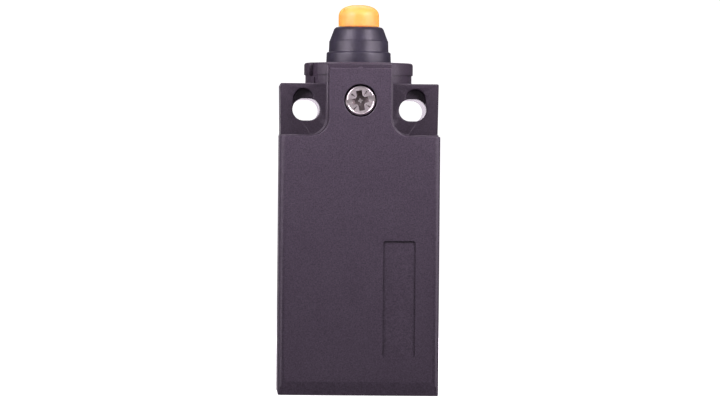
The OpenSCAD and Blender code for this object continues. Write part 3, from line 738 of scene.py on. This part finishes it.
# ---- Contact carrier ----
# The red slider that the plunger pushes down. Each bridge floats in a window of it, held against
# one end of the window by its own spring.
CARRIER_RED = (0.38, 0.020, 0.012, 1)
CARRIER_LIGHT = (0.50, 0.035, 0.020, 1)
CARRIER_EDGE = 0.12 * MM
carrier_plastic = moulded_plastic("carrier_plastic", CARRIER_RED, CARRIER_LIGHT, rough=0.42,
                                  depth=0.006 * MM)
carrier = crisp("contact_carrier", "carrier_moulding", CARRIER_EDGE, "plunger")
carrier.data.materials.append(carrier_plastic)

# ---- Guide bush ----
# A turned acetal bush pressed into the head: it guides the plunger's stem, and its flange clamps the
# boot's foot against the collar.
BUSH_IVORY = (0.62, 0.59, 0.50, 1)
BUSH_WHITE = (0.70, 0.67, 0.58, 1)
BUSH_EDGE = 0.12 * MM
bush_plastic = moulded_plastic("bush_plastic", BUSH_IVORY, BUSH_WHITE, rough=0.38, depth=0.004 * MM)
bush = crisp("guide_bush", "guide_bush_turned", BUSH_EDGE, "housing")
bush.data.materials.append(bush_plastic)

# ---- Cover seal ----
# A gasket moulded in black nitrile rubber. It lies in the groove round the cover's rim and comes off
# with the cover.
SEAL_BLACK = (0.012, 0.012, 0.013, 1)
SEAL_GREY = (0.024, 0.024, 0.026, 1)
SEAL_EDGE = 0.2 * MM
seal_rubber = moulded_plastic("seal_rubber", SEAL_BLACK, SEAL_GREY, rough=0.62)
seal = crisp("cover_seal", "cover_gasket", SEAL_EDGE, "cover", steps=3)
seal.data.materials.append(seal_rubber)

# ---- Terminals and insert ----
# Each terminal is stamped and bent from 1 mm brass strip. The insert that the cover screw turns in is
# a brass bush pressed into the housing.
BRASS_BROWN = (0.55, 0.37, 0.13, 1)
BRASS_YELLOW = (0.74, 0.53, 0.22, 1)
BRASS_EDGE = 0.12 * MM
brass = metal("stamped_brass", BRASS_BROWN, BRASS_YELLOW, rough=0.3, size=1.0 * MM)
for node in ("terminal_nc_left", "terminal_nc_right", "terminal_no_left", "terminal_no_right"):
    terminal = crisp(node, node + "_strip", BRASS_EDGE, "housing")
    terminal.data.materials.append(brass)
insert = crisp("screw_insert", "screw_insert_turned", BRASS_EDGE, "housing")
insert.data.materials.append(brass)

# ---- Bridges and contact tips ----
# The bridges are copper alloy strip and carry a riveted silver tip at each end; matching tips are
# riveted to the terminals.
COPPER_BROWN = (0.58, 0.27, 0.14, 1)
COPPER_PINK = (0.76, 0.42, 0.25, 1)
SILVER_GREY = (0.66, 0.65, 0.62, 1)
SILVER_WHITE = (0.84, 0.83, 0.80, 1)
STRIP_EDGE = 0.1 * MM
RIVET_EDGE = 0.08 * MM
RIVET_SHARP = 20.0
copper = metal("bridge_copper", COPPER_BROWN, COPPER_PINK, rough=0.3, size=1.0 * MM)
silver = metal("contact_silver", SILVER_GREY, SILVER_WHITE, rough=0.28, size=0.5 * MM)
for node in ("nc_bridge", "no_bridge"):
    strip = crisp(node, node + "_strip", STRIP_EDGE, node)
    strip.data.materials.append(copper)
    tips = crisp(node + "_tips", node + "_rivets", RIVET_EDGE, node, sharp=RIVET_SHARP)
    tips.data.materials.append(silver)
fixed_tips = crisp("fixed_contact_tips", "fixed_rivets", RIVET_EDGE, "housing", sharp=RIVET_SHARP)
fixed_tips.data.materials.append(silver)

# ---- Small steel parts ----
# Zinc-plated screws and clamp plates of the terminals, the screws that hold the contact block, and
# the washer that keeps the cover screw in the cover.
ZINC_GREY = (0.50, 0.50, 0.50, 1)
ZINC_WHITE = (0.68, 0.68, 0.67, 1)
PLATED_EDGE = 0.1 * MM
zinc = metal("zinc_plate", ZINC_GREY, ZINC_WHITE, rough=0.3)
for node, body in (("terminal_screws", "housing"), ("wire_clamps", "housing"), ("block_screws", "housing"),
                   ("screw_retainer", "cover")):
    small = crisp(node, node + "_plated", PLATED_EDGE, body)
    small.data.materials.append(zinc)

# ---- Studio table ----
# A pale, matt table that the switch stands on. It curves up behind the switch, so that no edge shows
# between the table and the backdrop.
TABLE_HALF = 2.5
TABLE_BACK_H = 2.5
TABLE_GREY = (0.90, 0.90, 0.90, 1)
TABLE_WHITE = (0.93, 0.93, 0.93, 1)
TABLE_CLOUD = 0.4
SWEEP_START = 1.0
SWEEP_R = 0.8
SWEEP_STEPS = 16
shape = bmesh.new()
profile = [(-TABLE_HALF, 0.0), (SWEEP_START, 0.0)]
for step in range(1, SWEEP_STEPS + 1):
    angle = math.radians(90 * step / SWEEP_STEPS)
    profile.append((SWEEP_START + SWEEP_R * math.sin(angle), SWEEP_R * (1 - math.cos(angle))))
profile.append((SWEEP_START + SWEEP_R, TABLE_BACK_H))
rows = []
for side in (-TABLE_HALF, TABLE_HALF):
    rows.append([shape.verts.new((side, y, z + housing_low.z)) for y, z in profile])
for k in range(len(profile) - 1):
    shape.faces.new((rows[0][k], rows[1][k], rows[1][k + 1], rows[0][k + 1]))
table = link_mesh("studio_table", shape)
pale, tree, shader = new_material("pale_table")
table_colour = blend_colours(tree, grain_noise(tree, TABLE_CLOUD), TABLE_GREY, TABLE_WHITE)
tree.links.new(table_colour, shader.inputs["Base Color"])
shader.inputs["Roughness"].default_value = 0.9
shader.inputs["Specular IOR Level"].default_value = 0.1
shader.inputs["Emission Color"].default_value = (1, 1, 1, 1)
shader.inputs["Emission Strength"].default_value = 1.0
table.data.materials.append(pale)
table.visible_diffuse = False
table.visible_glossy = False

# ---- Studio lights ----
# Two small soft lights stand close to the upper front and two large softboxes at the sides. A fill in
# front, a card and a softbox behind and one light overhead open up the dark sides.
LIGHT_TINT = (0.98, 0.87, 1.0)
MIDDLE = (0, -0.015, -0.01)


def soft_light(name, place, aim, size, power):
    """A rectangular soft light in metres and watts that points at aim and isn't seen itself."""
    lamp = bpy.data.lights.new(name, "AREA")
    lamp.shape = "RECTANGLE"
    lamp.size, lamp.size_y = size
    lamp.energy = power
    lamp.color = LIGHT_TINT
    holder = bpy.data.objects.new(name, lamp)
    bpy.context.scene.collection.objects.link(holder)
    holder.location = place
    holder.rotation_euler = (Vector(aim) - Vector(place)).to_track_quat("-Z", "Y").to_euler()
    holder.visible_camera = False


for side in (-1, 1):
    soft_light("near_light", (side * 0.069, -0.090, 0.059), (0, -0.030, -0.004), (0.045, 0.05), 0.137)
soft_light("left_softbox", (-0.46, -0.20, 0.06), MIDDLE, (0.28, 0.45), 1.3)
soft_light("right_softbox", (0.50, -0.20, 0.06), MIDDLE, (0.40, 0.45), 1.9)
soft_light("front_fill", (0.0, -0.65, 0.02), MIDDLE, (0.9, 0.7), 0.36)
soft_light("back_card", (0.0, 0.50, -0.01), (0, 0.0, -0.01), (0.30, 0.30), 0.40)
soft_light("back_softbox", (0.0, 0.45, 0.50), (0, 0.0, -0.02), (0.5, 0.35), 1.6)
soft_light("overhead", (0.0, 0.05, 0.70), (0, 0.0, 0.0), (0.5, 0.5), 0.8)

# ---- Studio room ----
# A white backdrop that the camera sees, in a room that is otherwise dim, so that the soft lights do
# the lighting.
BACKDROP_STRENGTH = 1.1
ROOM_STRENGTH = 0.12
world = bpy.data.worlds.new("studio")
bpy.context.scene.world = world
world.use_nodes = True
tree = world.node_tree
seen = tree.nodes.new("ShaderNodeLightPath")
backdrop = tree.nodes.new("ShaderNodeBackground")
backdrop.inputs["Color"].default_value = (1, 1, 1, 1)
backdrop.inputs["Strength"].default_value = BACKDROP_STRENGTH
room = tree.nodes["Background"]
room.inputs["Color"].default_value = (1, 1, 1, 1)
room.inputs["Strength"].default_value = ROOM_STRENGTH
choose = tree.nodes.new("ShaderNodeMixShader")
tree.links.new(seen.outputs["Is Camera Ray"], choose.inputs["Fac"])
tree.links.new(room.outputs["Background"], choose.inputs[1])
tree.links.new(backdrop.outputs["Background"], choose.inputs[2])
tree.links.new(choose.outputs["Shader"], tree.nodes["World Output"].inputs["Surface"])
bpy.context.scene.view_settings.view_transform = "Standard"

# ---- Camera ----
# A long lens almost straight in front of the cover. It stands about a degree and a half to one side
# and is rolled by half a degree.
CAMERA_DISTANCE = 1.2
CAMERA_TURN = math.radians(-1.45)
CAMERA_ROLL = math.radians(0.50)
AIM_X = 0.06 * MM
AIM_Z = -18.2 * MM
SENSOR_WIDTH = 36.0
FOCAL_LENGTH = 311.2
front_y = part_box("front_cover")[0].y
aim = Vector((AIM_X, front_y, AIM_Z))
lens = bpy.data.cameras.new("camera")
lens.sensor_width = SENSOR_WIDTH
lens.lens = FOCAL_LENGTH
lens.clip_start = 0.05
camera = bpy.data.objects.new("camera", lens)
bpy.context.scene.collection.objects.link(camera)
camera.location = aim + CAMERA_DISTANCE * Vector((math.sin(CAMERA_TURN), -math.cos(CAMERA_TURN), 0))
look = (aim - camera.location).to_track_quat("-Z", "Y").to_matrix().to_4x4()
camera.rotation_euler = (look @ Matrix.Rotation(CAMERA_ROLL, 4, "Z")).to_euler()
bpy.context.scene.camera = camera
